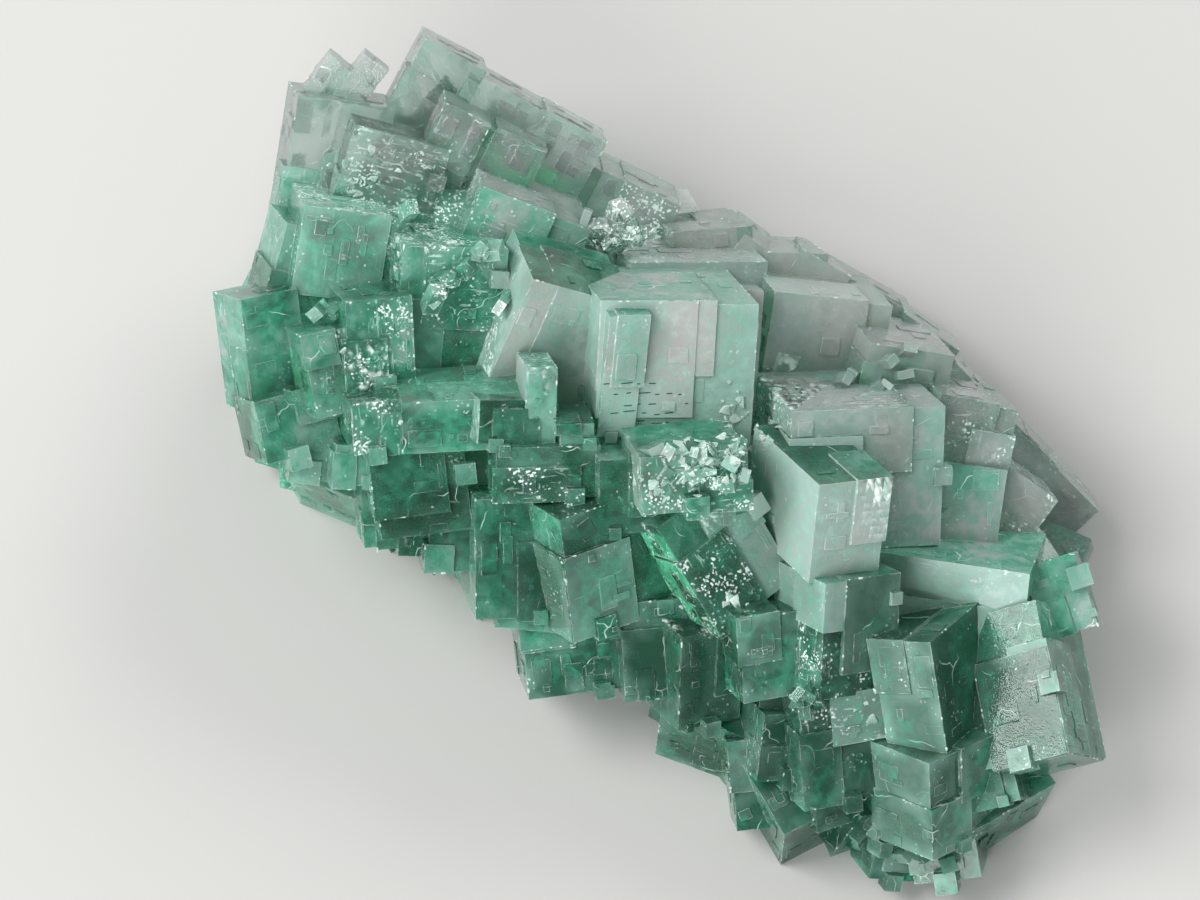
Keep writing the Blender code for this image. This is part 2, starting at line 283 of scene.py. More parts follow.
@dataclass(frozen=True)
class CrystalTones:
    """Where the cluster is green or clear, frosted or a clear window, and where it sparkles, with a painted
    sheen and painted shade set by which way each face looks.
    """

    # The faces with the satiny coat; its silvery colour is partly a painted sheen of the lights.
    satin_sheen: tuple[Zone, ...] = (
        Zone(19.5, -6.3, 10.5, 9.5, 0.8),
        Zone(-10.3, 15.0, 9.5, 10.0, 0.75),
        Zone(3.5, 8.0, 11.5, 10.5, 0.7),
        Zone(29.0, -29.0, 4.2, 8.5, 0.3),
        Zone(45.0, -31.0, 8.5, 9.5, 0.15),
        Zone(18.7, -18.0, 3.5, 5.0, 0.6),
        Zone(35.7, -17.3, 9.5, 4.6, 0.5),
        Zone(-20.0, 6.7, 9.5, 2.4, 0.6),
        Zone(28.0, 4.0, 7.0, 8.0, 0.35),
        Zone(-7.0, 30.0, 12.0, 5.0, 0.3),
        Zone(9.0, 22.0, 13.0, 4.0, 0.7),
        Zone(27.0, 13.0, 9.0, 5.0, 0.3),
        Zone(44.0, -4.0, 8.0, 6.0, 0.4),
    )
    # Clear windows: more see-through, and painted a darker green that is partly painted shade.
    windows: tuple[Zone, ...] = (
        Zone(-23.2, 16.7, 6.5, 8.5, 0.2),
        Zone(-5.7, -8.0, 8.0, 7.5, 0.8),
        Zone(7.5, -15.0, 8.0, 8.5, 0.8),
        Zone(35.7, -27.6, 4.5, 10.0, 0.7),
        Zone(23.0, -21.9, 5.5, 8.0, 0.8),
        Zone(21.3, -0.6, 7.5, 4.0, 0.9),
        Zone(-9.2, 20.9, 7.5, 4.5, 0.9),
        Zone(20.0, -36.8, 9.0, 9.0, 0.7),
        Zone(-26.5, -6.3, 6.0, 6.5, 1.0),
        Zone(-15.5, -12.7, 6.0, 7.0, 0.7),
        Zone(-37.0, 9.0, 8.0, 9.0, 0.5),
        Zone(4.0, -27.0, 9.0, 6.0, 0.6),
        Zone(-8.9, 6.9, 2.4, 4.2, 1.0),
        Zone(-16.4, 3.2, 3.6, 3.0, 1.0),
        Zone(39.7, -27.5, 5.5, 7.0, 1.0),
        Zone(27.5, -22.9, 3.0, 4.8, 0.8),
        Zone(-28.0, 38.0, 13.0, 9.0, 0.45),
    )
    sparkling: tuple[Zone, ...] = (
        Zone(10.9, 2.3, 5.5, 5.5, 0.6),
        Zone(4.6, -3.5, 7.0, 3.4, 0.6),
        Zone(-29.9, 28.2, 13.0, 8.0, 0.55),
        Zone(-2.0, 26.2, 5.0, 3.8, 0.8),
        Zone(6.0, -15.5, 7.0, 5.0, 0.5),
        Zone(-32.0, 7.0, 5.0, 8.5, 0.45),
        Zone(-21.0, 17.2, 4.0, 6.5, 0.55),
        Zone(-12.0, -5.0, 7.0, 3.0, 0.4),
        Zone(22.0, -27.0, 5.0, 6.0, 0.45),
        Zone(42.0, -1.0, 8.0, 6.0, 0.3),
    )
    front_lean: float = 0.7
    top_lean: float = 0.55
    clear_rim: tuple[float, float, float] = (-0.59, -0.807, 25.1)  # its inward direction and offset
    rim_fade: tuple[float, float] = (1.0, 26.0)  # mm inward of the clear rim
    top_fade: tuple[float, float] = (38.0, 20.0)  # mm up, as is the next
    foot_fade: tuple[float, float] = (-8.0, -34.0)
    rim_green: float = 0.62
    # How much greener and darker the crystal gets low down: partly its own colour, partly painted shade.
    foot_green_and_shade: float = 0.42
    seed: int = 11

    def facing(self, normal: Vector) -> Facing:
        """Which way a face looks.

        Args:
            normal: the face's normal in the display frame.

        Returns:
            The way.
        """
        if normal.z > self.front_lean:
            return Facing.FRONT
        if normal.y > self.top_lean and normal.z > 0.0:
            return Facing.TOP
        return Facing.SIDE if normal.z > 0.0 else Facing.HIDDEN

    def greenness(self, place: Vector) -> float:
        """How green the crystal is: it is clear along its upper right rim and greenest low down, where the
        extra depth is partly painted shade.

        Args:
            place: a place of the display side, in mm.

        Returns:
            The greenness, from 0 to about 1.
        """
        right, up, offset = self.clear_rim
        inward = right * place.x + up * place.y + offset
        green = smooth(*self.rim_fade, inward) * smooth(*self.top_fade, place.y) * self.rim_green
        return green + self.foot_green_and_shade * smooth(*self.foot_fade, place.y)

    def paint(self, piece: bpy.types.Object) -> None:
        """Stores each face's tones as face colours.

        face_tone holds green, the frosted share with its painted sheen, and chance. face_light holds window,
        sparkle and the share of a painted reflection in a warmer grey.

        Args:
            piece: the piece, in the row's frame.
        """
        mesh = piece.data
        chance = random.Random(self.seed)
        tones = mesh.attributes.new("face_tone", "FLOAT_COLOR", "FACE")
        lights = mesh.attributes.new("face_light", "FLOAT_COLOR", "FACE")
        for polygon in mesh.polygons:
            place = to_display(polygon.center)
            facing = self.facing(AXES.transposed() @ polygon.normal)
            green = self.greenness(place)
            green += chance.uniform(-0.14, 0.14) * min(1.0, 0.2 + 2.0 * green)
            satin_sheen = most(self.satin_sheen, place)
            window = most(self.windows, place)
            frost_and_sheen = 0.1 + chance.random() ** 3 * 0.35 * (1.0 - window)
            # Front and side faces take the satiny coat, whose silvery colour is partly a painted sheen of the
            # lights.
            if facing is Facing.FRONT:
                frost_and_sheen += satin_sheen
                window *= 1.0 - satin_sheen
            elif facing is Facing.SIDE:
                frost_and_sheen += 0.95 * satin_sheen
                window = max(window, 0.25) * (1.0 - 0.9 * satin_sheen)
            elif facing is Facing.TOP:
                # Top faces are painted darker green, clearer and less frosted: a painted shade where they
                # reflect no light.
                top_face_shade = smooth(0.0, 0.2, self.greenness(place))
                green += 0.15 * top_face_shade
                frost_and_sheen += 0.6 * satin_sheen * (1.0 - top_face_shade)
                window = max(window, 0.55 * self.greenness(place))
            else:
                window = 0.4 * chance.random()
            window *= chance.uniform(0.6, 1.1)
            # A painted reflection in a warmer grey: by chance on upper faces, and full where the crystal is
            # clear.
            warm_reflection = chance.random() * smooth(30.0, 0.0, -place.y)
            warm_reflection = max(warm_reflection, smooth(0.22, 0.0, self.greenness(place)))
            face = polygon.index
            tones.data[face].color = (min(max(green, 0.0), 1.0), min(frost_and_sheen, 1.0), chance.random(), 1.0)
            lights.data[face].color = (min(window, 1.0), most(self.sparkling, place), warm_reflection, 1.0)

    def paint_like(self, piece: bpy.types.Object, sampler: "FaceSampler") -> bpy.types.Object:
        """Gives each face of a small piece the tones of the crystal face that it sits on.

        Args:
            piece: the piece, in the row's frame.
            sampler: knows the crystal faces.

        Returns:
            The piece, mapped as well.
        """
        sampler.edges.store(piece)
        for name in ("face_tone", "face_light"):
            source = sampler.mesh.attributes[name].data
            target = piece.data.attributes.new(name, "FLOAT_COLOR", "FACE").data
            for polygon in piece.data.polygons:
                target[polygon.index].color = source[sampler.tree.find_nearest(polygon.center)[2]].color
        self.map_in_mm(piece)
        return piece

    def map_in_mm(self, piece: bpy.types.Object) -> None:
        """Gives each face a map in mm along its longest edge, at a place of its own in the pattern.

        Args:
            piece: the piece, in the row's frame.
        """
        mesh = piece.data
        chance = random.Random(self.seed + 1)
        layer = mesh.uv_layers.get("face_mm") or mesh.uv_layers.new(name="face_mm")
        for polygon in mesh.polygons:
            along, across = face_axes(mesh, polygon.index)
            shift = Vector((chance.uniform(0, 200), chance.uniform(0, 200)))
            for loop in polygon.loop_indices:
                point = mesh.vertices[mesh.loops[loop].vertex_index].co / MM
                layer.data[loop].uv = Vector((point.dot(along), point.dot(across))) + shift


@dataclass(frozen=True)
class EtchedCrystal:
    """Fluorite whose cube faces were etched: a satiny coat, its silvery colour partly a painted sheen, over
    clear, green-zoned crystal.
    """

    clear: str = "dde2e1"
    mint: str = "8fdcc4"
    pale: str = "a9dfce"
    green: str = "3cb892"
    deep: str = "06694a"
    # The satiny coat's grey green, partly a painted sheen.
    satin_sheen: str = "a2b8b1"
    # A warmer grey: a painted reflection.
    warm_reflection: str = "b3aba8"
    white: str = "e3f0ea"
    ior: float = 1.434
    tint: str = "84eccd"
    absorption: float = 26.0  # per metre
    cloud_size: float = 8.0  # mm, as are all the sizes and widths below
    drift_size: float = 11.0
    zone_size: float = 5.0
    fleck_size: float = 1.3
    patch_size: float = 3.6
    sparkle_size: float = 0.24
    streak_gap: float = 3.0
    crack_size: float = 7.5
    crack_bend: float = 1.6
    bend_size: float = 2.2
    grain_size: float = 0.25
    rim_width: float = 1.8
    crease_width: float = 1.5
    edge_width: float = 0.16
    relief: float = 0.05
    relief_strength: float = 0.8

    def build(self) -> bpy.types.Material:
        """The material, with its green zones, satiny coat and painted sheen, flecks, cracks and etched
        blocks.
        """
        return EtchedPaint(self).finished()


class EtchedPaint(Paint):
    """The etched crystal's material being made, from the tones that the body stores for each face."""

    def __init__(self, finish: EtchedCrystal) -> None:
        """Reads the face tones and the clouds that several patterns share.

        Args:
            finish: the crystal's colours and sizes.
        """
        super().__init__("etched_fluorite")
        self.finish = finish
        self.solid = self.solid_place()
        self.face = self.add("ShaderNodeUVMap", uv_map="face_mm").outputs["UV"]
        tone = self.split(self.stored("face_tone")["Color"])
        light = self.split(self.stored("face_light")["Color"])
        self.green, self.frost_and_sheen = tone["Red"], tone["Green"]
        self.window, self.sparkle, self.warm_reflection_share = light["Red"], light["Green"], light["Blue"]
        self.fine = self.noise(self.solid, finish.fleck_size * MM, 2.0)
        self.patches = self.noise(self.solid, finish.patch_size * MM)

    def finished(self) -> bpy.types.Material:
        """Puts the patterns together.

        Returns:
            The material.
        """
        white = self.white_share()
        # The frosted share of each face takes the silvery colour, partly a painted sheen.
        skin_and_sheen = self.times(self.frost_and_sheen, self.in_range(self.fine, 0.36, 0.6, 0.74, 1.0))
        colour = self.blend(skin_and_sheen, self.crystal_colour(), self.satin_sheen_colour())
        through = self.plus(self.in_range(self.frost_and_sheen, 0.1, 1.0, 0.58, 0.12), self.times(self.window, 0.27))
        through = self.plus(through, self.in_range(self.green, 0.35, 0.0, 0.0, 0.2))
        rough = self.in_range(self.frost_and_sheen, 0.1, 0.9, 0.05, 0.34)
        surface = {
            "Base Color": self.blend(white, colour, linear(self.finish.white)),
            "Transmission Weight": self.calculate("SUBTRACT", through, self.times(white, 0.6), clamp=True),
            "Roughness": self.plus(rough, self.in_range(self.patches, 0.4, 0.7, 0.0, 0.1)),
            "IOR": self.finish.ior,
        }
        self.fill(self.shader, surface)
        self.emboss()
        inputs = {"Color": linear(self.finish.tint), "Density": self.finish.absorption}
        absorb = self.add("ShaderNodeVolumeAbsorption", inputs)
        output = next(node for node in self.tree.nodes if node.type == "OUTPUT_MATERIAL")
        self.fill(output, {"Volume": absorb.outputs["Volume"]})
        return self.material

    def white_share(self) -> Socket:
        """How white a place is from flecks, which are partly painted glints, and from streaks, cracks and
        chipped edges.

        Returns:
            The share, from 0 to 1.
        """
        chipped = self.times(self.edge_share(), self.in_range(self.fine, 0.42, 0.62))
        share = self.calculate("MAXIMUM", self.flecks(), self.streaks())
        share = self.calculate("MAXIMUM", share, self.cracks())
        return self.calculate("MAXIMUM", share, self.times(chipped, 0.75))

    def near(self, name: str, width: float) -> Socket:
        """How near a rim a point is, from the stored distance: 1 at the rim, 0 from this many mm on."""
        return self.in_range(self.stored(name)["Fac"], width, 0.0)

    def edge_share(self) -> Socket:
        """How near an edge a point is.

        Returns:
            1 at the edge and 0 away from it.
        """
        bevel = self.add("ShaderNodeBevel", {"Radius": self.finish.edge_width * MM}, samples=2)
        flat = self.add("ShaderNodeNewGeometry").outputs["True Normal"]
        inputs = {0: bevel.outputs["Normal"], 1: flat}
        likeness = self.add("ShaderNodeVectorMath", inputs, operation="DOT_PRODUCT")
        return self.in_range(likeness.outputs["Value"], 0.995, 0.86)

    def crystal_colour(self) -> Socket:
        """The crystal's green, paler along its outer rims and a darker green near its creases, which is a
        painted shade.

        Returns:
            The colour.
        """
        rim = self.near("outer_edge", self.finish.rim_width)
        pale = self.times(rim, self.in_range(self.patches, 0.35, 0.65, 0.0, 0.75))
        pale = self.times(pale, self.in_range(self.window, 0.3, 0.9, 1.0, 0.35))
        # Darker green near the creases: a painted shade.
        crease = self.times(self.near("crease", self.finish.crease_width), 0.3)
        colour = self.blend(pale, self.body_colour(), linear(self.finish.pale))
        return self.blend(crease, colour, linear(self.finish.deep))

    def body_colour(self) -> Socket:
        """The green of the crystal inside: clear to deep in clouds, deepest in the clear windows, where the
        extra depth is partly painted shade.

        Returns:
            The colour.
        """
        clouds = self.noise(self.solid, self.finish.cloud_size * MM)
        wide = self.in_range(clouds, 0.3, 0.7, -0.24, 0.24)
        small = self.in_range(self.fine, 0.3, 0.7, -0.2, 0.2)
        zones = self.blocks(1.0 / self.finish.zone_size)["Green"]
        change = self.plus(self.plus(wide, small), self.in_range(zones, 0.0, 1.0, -0.16, 0.16))
        change = self.times(change, self.in_range(self.green, 0.0, 0.5, 0.3, 1.0))
        # Darker green in the clear windows: partly the colour seen into the crystal, partly painted shade.
        window_depth_and_shade = self.times(self.window, self.in_range(self.green, 0.0, 0.25, 0.0, 0.24))
        depth = self.plus(self.plus(self.green, window_depth_and_shade), change, clamp=True)
        ramp = self.add("ShaderNodeValToRGB", {"Fac": depth})
        stops = ramp.color_ramp.elements
        stops[0].position, stops[0].color = 0.05, linear(self.finish.clear)
        stops[1].position, stops[1].color = 1.0, linear(self.finish.deep)
        stops.new(0.32).color = linear(self.finish.mint)
        stops.new(0.62).color = linear(self.finish.green)
        return ramp.outputs["Color"]

    def satin_sheen_colour(self) -> Socket:
        """The silvery coat's colour, partly a painted sheen: grey green, drifting to a warmer grey that is a
        painted reflection.
        """
        drift = self.in_range(self.noise(self.solid, self.finish.drift_size * MM, 0.0), 0.4, 0.65)
        return self.blend(self.times(drift, self.warm_reflection_share), linear(self.finish.satin_sheen), linear(self.finish.warm_reflection))

    def flecks(self) -> Socket:
        """Tiny cleaved facets that catch the light, in clusters, painted white: partly their own white and
        partly painted glints.

        Returns:
            Their share of the surface.
        """
        inputs = {"Vector": self.face, "Scale": 1 / self.finish.sparkle_size}
        cells = self.add("ShaderNodeTexVoronoi", inputs, voronoi_dimensions="2D")
        lot = self.split(cells.outputs["Color"])["Red"]
        share = self.plus(self.times(self.sparkle, 0.42), 0.08)
        cluster = self.plus(self.in_range(self.patches, 0.5, 0.72), self.times(self.sparkle, 0.5))
        chosen = self.calculate("SUBTRACT", self.plus(lot, self.times(share, cluster)), 1.0)
        return self.in_range(chosen, 0.0, 0.12)

    def streaks(self) -> Socket:
        """White etch streaks that run along a face, in the sparkling places.

        Returns:
            Their share of the surface.
        """
        stretch = self.add("ShaderNodeMapping", {"Vector": self.face, "Scale": (0.35, 2.6, 1.0)})
        line = self.in_range(self.noise(stretch.outputs["Vector"], 1.0, 2.0, "2D"), 0.6, 0.7)
        patch = self.in_range(self.noise(self.face, self.finish.streak_gap, 0.0, "2D"), 0.48, 0.6)
        return self.times(self.times(line, patch), self.sparkle)

    def cracks(self) -> Socket:
        """Thin white healed cracks that come and go.

        Returns:
            Their share of the surface.
        """
        inputs = {"Vector": self.face, "Scale": 1 / self.finish.bend_size, "Detail": 1.0}
        bend = self.add("ShaderNodeTexNoise", inputs, noise_dimensions="2D")
        reach = (self.finish.crack_bend, self.finish.crack_bend, 0.0)
        inputs = {0: bend.outputs["Color"], 1: reach, 2: self.face}
        bent = self.add("ShaderNodeVectorMath", inputs, operation="MULTIPLY_ADD").outputs["Vector"]
        inputs = {"Vector": bent, "Scale": 1 / self.finish.crack_size}
        settings = {"feature": "DISTANCE_TO_EDGE", "voronoi_dimensions": "2D"}
        cells = self.add("ShaderNodeTexVoronoi", inputs, **settings)
        line = self.in_range(cells.outputs["Distance"], 0.011, 0.003)
        line = self.times(line, self.in_range(self.frost_and_sheen, 0.6, 0.2, 0.15, 0.8))
        return self.times(line, self.in_range(self.patches, 0.48, 0.34))

    def blocks(self, scale: float) -> bpy.types.NodeOutputs:
        """Square-cornered cells along a face.

        Args:
            scale: how many cells there are in a mm.

        Returns:
            Each cell's own red, green and blue, by chance.
        """
        inputs = {"Vector": self.face, "Scale": scale}
        cells = self.add("ShaderNodeTexVoronoi", inputs, distance="CHEBYCHEV", voronoi_dimensions="2D")
        return self.split(cells.outputs["Color"])

    def emboss(self) -> None:
        """Adds the etched blocks, at two sizes, and a fine grain as relief."""
        large, small = self.blocks(0.45)["Red"], self.blocks(1.8)["Red"]
        grain = self.noise(self.face, self.finish.grain_size, 0.0, "2D")
        height = self.plus(self.plus(large, self.times(small, 0.45)), self.times(grain, 0.5))
        self.bump(height, self.finish.relief, self.finish.relief_strength)


@dataclass(frozen=True)
class CleavedWhite:
    """Bruised fluorite: fresh cleavage flakes that look white and glint."""

    colour: str = "e6f2ec"
    shade: str = "a8cdbd"
    ior: float = 1.434
    roughness: float = 0.16
    transmission: float = 0.35
    drift_size: float = 1.6  # mm
    grain_size: float = 0.2  # mm

    def build(self, name: str) -> bpy.types.Material:
        """Makes the material.

        Args:
            name: the material's name.

        Returns:
            The material.
        """
        paint = Paint(name)
        solid = paint.solid_place()
        drift = paint.in_range(paint.noise(solid, self.drift_size * MM), 0.35, 0.65)
        grain = paint.noise(solid, self.grain_size * MM)
        surface = {
            "Base Color": paint.blend(drift, linear(self.shade), linear(self.colour)),
            "Roughness": paint.in_range(grain, 0.3, 0.7, self.roughness, self.roughness + 0.2),
            "IOR": self.ior,
            "Transmission Weight": self.transmission,
        }
        paint.fill(paint.shader, surface)
        paint.bump(grain, 0.03, 0.5)
        return paint.material


@dataclass(frozen=True)
class FractureVeil:
    """A healed fracture inside the crystal: a film of tiny bubbles, so air's own IOR and half veiled."""

    colour: str = "d9f0e6"
    ior: float = 1.0
    roughness: float = 0.3
    clearest: float = 0.97
    densest: float = 0.35
    wisp_size: float = 1.2  # mm

    def build(self) -> bpy.types.Material:
        """Makes the material.

        Returns:
            The material, in clear and in veiled wisps.
        """
        paint = Paint("healed_fracture")
        wisp = paint.noise(paint.solid_place(), self.wisp_size * MM, 3.0)
        surface = {
            "Base Color": linear(self.colour),
            "Transmission Weight": paint.in_range(wisp, 0.42, 0.66, self.clearest, self.densest),
            "Roughness": self.roughness,
            "IOR": self.ior,
        }
        paint.fill(paint.shader, surface)
        return paint.material


@dataclass(frozen=True)
class PlainMatt:
    """A matt surface of one colour."""

    name: str
    colour: str
    roughness: float

    def build(self) -> bpy.types.Material:
        """Makes the material.

        Returns:
            The material.
        """
        paint = Paint(self.name)
        paint.fill(paint.shader, {"Base Color": linear(self.colour), "Roughness": self.roughness})
        return paint.material


@dataclass
class CrystalBody:
    """The cluster's outside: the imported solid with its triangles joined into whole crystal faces."""

    finish: EtchedCrystal = EtchedCrystal()
    tones: CrystalTones = CrystalTones()
    flat_angle: float = 0.6  # degrees that two triangles of one face may differ by
    merge_distance: float = 0.002  # mm
    longest_edge: float = 1.9  # mm
    whole_faces: bpy.types.Mesh | None = None
    edges: "EdgeDistances | None" = None

    def build(self) -> bpy.types.Object:
        """Builds and dresses the body.

        Returns:
            The finished piece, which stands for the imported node.
        """
        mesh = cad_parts[NODE].data.copy()
        mesh.name = "crystal_faces"
        body = new_object("crystal_faces", mesh)
        self.join_triangles(body)
        self.tones.paint(body)
        self.tones.map_in_mm(body)
        self.whole_faces = mesh.copy()
        self.refine(body)
        self.edges = EdgeDistances(self.whole_faces)
        self.edges.store(body)
        mesh.materials.clear()
        mesh.materials.append(self.finish.build())
        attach(body, "root")
        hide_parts(NODE)
        return body

    def join_triangles(self, body: bpy.types.Object) -> None:
        """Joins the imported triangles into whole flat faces.

        Args:
            body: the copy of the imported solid.
        """
        make_active(body)
        bpy.ops.object.mode_set(mode="EDIT")
        bpy.ops.mesh.select_all(action="SELECT")
        bpy.ops.mesh.remove_doubles(threshold=self.merge_distance * MM)
        bpy.ops.mesh.dissolve_limited(angle_limit=math.radians(self.flat_angle))
        bpy.ops.mesh.select_all(action="DESELECT")
        bpy.ops.object.mode_set(mode="OBJECT")
        body.data.polygons.foreach_set("use_smooth", [False] * len(body.data.polygons))

    def refine(self, body: bpy.types.Object) -> None:
        """Splits the faces until no edge is long, so that they can carry the distance to their rims.

        Args:
            body: the joined and painted body.
        """
        make_active(body)
        bpy.ops.object.mode_set(mode="EDIT")
        bpy.ops.mesh.select_mode(type="EDGE")
        long_edges = True
        while long_edges:
            bpy.ops.mesh.select_all(action="SELECT")
            bpy.ops.mesh.quads_convert_to_tris(quad_method="SHORTEST_DIAGONAL", ngon_method="BEAUTY")
            shape = bmesh.from_edit_mesh(body.data)
            long_edges = False
            for edge in shape.edges:
                edge.select_set(edge.calc_length() > self.longest_edge * MM)
                long_edges = long_edges or edge.select
            shape.select_flush_mode()
            bmesh.update_edit_mesh(body.data)
            if long_edges:
                bpy.ops.mesh.subdivide(number_cuts=1)
        bpy.ops.mesh.select_mode(type="VERT")
        bpy.ops.mesh.select_all(action="DESELECT")
        bpy.ops.object.mode_set(mode="OBJECT")


class EdgeDistances:
    """Knows how far a point is from the crystals' outer edges and from the creases between them."""

    def __init__(self, whole: bpy.types.Mesh, spacing: float = 0.4, sharp: float = 0.5) -> None:
        """Reads the edges.

        Args:
            whole: the body's mesh before its faces were split.
            spacing: how far apart the measured points of an edge are, in mm.
            sharp: the angle in radians that two faces differ by at an edge.
        """
        shape = bmesh.new()
        shape.from_mesh(whole)
        points = {"outer_edge": [], "crease": []}
        for edge in shape.edges:
            if len(edge.link_faces) == 2 and edge.calc_face_angle() > sharp:
                start, end = (vertex.co for vertex in edge.verts)
                count = max(int(edge.calc_length() / (spacing * MM)), 1)
                name = "outer_edge" if edge.is_convex else "crease"
                points[name].extend(start.lerp(end, place / count) for place in range(count + 1))
        shape.free()
        self.trees = {name: self.plant(places) for name, places in points.items()}

    def plant(self, places: list[Vector]) -> KDTree:
        """Plants a tree that finds the nearest of some places.

        Args:
            places: the places.

        Returns:
            The tree.
        """
        tree = KDTree(len(places))
        for index, place in enumerate(places):
            tree.insert(place, index)
        tree.balance()
        return tree

    def store(self, piece: bpy.types.Object) -> None:
        """Stores the distances, in mm, as the point attributes outer_edge and crease.

        Args:
            piece: the piece, in the row's frame.
        """
        for name, tree in self.trees.items():
            stored = piece.data.attributes.new(name, "FLOAT", "POINT")
            distances = [tree.find(vertex.co)[2] / MM for vertex in piece.data.vertices]
            stored.data.foreach_set("value", distances)


@dataclass(frozen=True)
class Spot:
    """A place on a crystal face: its point and the face's own axes."""

    point: Vector
    along: Vector
    across: Vector
    normal: Vector
    face: int

    def outlook(self) -> float:
        """How far the face looks to the viewer: 1 straight at them and below 0 away from them."""
        return (AXES.transposed() @ self.normal).z

    def matrix(self, size: Vector, lift: float = 0.0, turn: Euler | None = None) -> Matrix:
        """Where a unit shape of a size goes, in metres.

        Args:
            size: its length, width and height in mm.
            lift: how far its origin is out of the face, in mm.
            turn: a turn of its own.

        Returns:
            The shape's matrix.
        """
        axes = Matrix((self.along, self.across, self.normal)).transposed().to_4x4()
        own = (turn or Euler()).to_matrix().to_4x4()
        place = Matrix.Translation(self.point + self.normal * lift * MM)
        return place @ axes @ own @ Matrix.Diagonal((*(size * MM), 1.0))


class FaceSampler:
    """Picks places on the body's faces, more often on larger ones."""

    clearance: float = 1.6  # mm that each place stays above the floor
    headroom: float = 0.3  # mm that a fitting place has free above it

    def __init__(self, whole: bpy.types.Mesh, edges: EdgeDistances) -> None:
        """Reads the body's faces.

        Args:
            whole: the body's mesh before its faces were split.
            edges: how far a point is from the crystals' edges.
        """
        self.mesh = whole
        self.edges = edges
        self.tree = BVHTree.FromPolygons(
            [vertex.co for vertex in self.mesh.vertices], [tuple(p.vertices) for p in self.mesh.polygons]
        )
        self.mesh.calc_loop_triangles()
        self.triangles = list(self.mesh.loop_triangles)
        self.areas = [triangle.area for triangle in self.mesh.loop_triangles]
        self.known_axes: dict[int, tuple[Vector, Vector]] = {}

    def axes(self, face: int) -> tuple[Vector, Vector]:
        """A face's directions, worked out once.

        Args:
            face: the face's number.

        Returns:
            The directions along and across its longest edge.
        """
        if face not in self.known_axes:
            self.known_axes[face] = face_axes(self.mesh, face)
        return self.known_axes[face]

    def picks(self, count: int, chance: random.Random, keep: Callable[[Spot], float]) -> list[Spot]:
        """Several places, each kept by chance.

        Args:
            count: how many are picked before any is dropped.
            chance: the source of chance.
            keep: gives the share of picks that stay at a place.

        Returns:
            The places that stay.
        """
        spots = []
        weights = list(itertools.accumulate(self.areas))
        for triangle in chance.choices(self.triangles, cum_weights=weights, k=count):
            first, second = sorted((chance.random(), chance.random()))
            a, b, c = (self.mesh.vertices[index].co for index in triangle.vertices)
            point = a * first + b * (second - first) + c * (1.0 - second)
            face = triangle.polygon_index
            spot = Spot(point, *self.axes(face), self.mesh.polygons[face].normal.copy(), face)
            if chance.random() < keep(spot) and point.z > self.clearance * MM:
                spots.append(spot)
        return spots

    def fits(self, spot: Spot, length: float, width: float) -> bool:
        """Whether a rectangle lies wholly on the spot's face, with nothing above.

        Args:
            spot: the rectangle's middle.
            length: its length along the face, in mm.
            width: its width across it, in mm.

        Returns:
            Whether it does.
        """
        for right, up in itertools.product((-0.5, 0.5), repeat=2):
            corner = spot.point + spot.along * right * length * MM + spot.across * up * width * MM
            above = corner + spot.normal * self.headroom * MM
            hit = self.tree.ray_cast(above, -spot.normal, 2.0 * self.headroom * MM)
            if hit[2] != spot.face:
                return False
        return True

    def depth(self, point: Vector, direction: Vector) -> float:
        """How far the crystal goes on from a point inside it, in mm."""
        hit = self.tree.ray_cast(point + direction * 0.02 * MM, direction)
        return hit[3] / MM if hit[0] else 0.0


@dataclass(frozen=True)
class Density:
    """How densely small shapes lie on the crystal: the share of the picks that stay at a place."""

    usual: float
    sparkling: float
    satin_sheen: float
    hidden: float
    turned: float = -0.2  # the outlook below which a face is hidden
    tones: CrystalTones = CrystalTones()

    def share(self, spot: Spot) -> float:
        """The share at a place: more where the crystal sparkles and less on the satiny faces.

        Args:
            spot: the place.

        Returns:
            The share, from 0 to 1.
        """
        if spot.outlook() < self.turned:
            return self.hidden
        place = to_display(spot.point)
        share = self.usual + self.sparkling * most(self.tones.sparkling, place)
        return max(0.0, share - self.satin_sheen * most(self.tones.satin_sheen, place))


def lay_copies(name: str, shape: bpy.types.Object, places: list[Matrix]) -> bpy.types.Object:
    """Copies a modelled shape to many places, each with a mesh of its own, and joins the copies.

    Args:
        name: the joined piece's name.
        shape: the shape that is copied, which is then removed.
        places: where each copy goes.

    Returns:
        The joined piece, with its origin in the origin.
    """
    copies = []
    for place in places:
        copy = new_object(name, shape.data.copy())
        copy.data.transform(place)
        copies.append(copy)
    bpy.data.objects.remove(shape)
    make_active(copies[0])
    for copy in copies:
        copy.select_set(True)
    bpy.ops.object.join()
    piece = bpy.context.object
    piece.name = name
    return piece


def cut_block(bevel: float) -> bpy.types.Object:
    """A unit block with its edges taken off, its middle in the origin.

    Args:
        bevel: how much is taken off each edge, as a share of the block.

    Returns:
        The block.
    """
    deselect_all()
    bpy.ops.mesh.primitive_cube_add(size=1.0, location=(0.0, 0.0, 0.0))
    block = bpy.context.object
    bpy.ops.object.mode_set(mode="EDIT")
    bpy.ops.mesh.select_all(action="SELECT")
    bpy.ops.mesh.bevel(offset=bevel, segments=1, affect="EDGES")
    bpy.ops.object.mode_set(mode="OBJECT")
    return block


def finish_piece(piece: bpy.types.Object, material: bpy.types.Material) -> bpy.types.Object:
    """Gives a piece its material and says that it belongs to the cluster.

    Args:
        piece: the piece.
        material: its material.

    Returns:
        The piece.
    """
    piece.data.materials.clear()
    piece.data.materials.append(material)
    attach(piece, "root")
    return piece


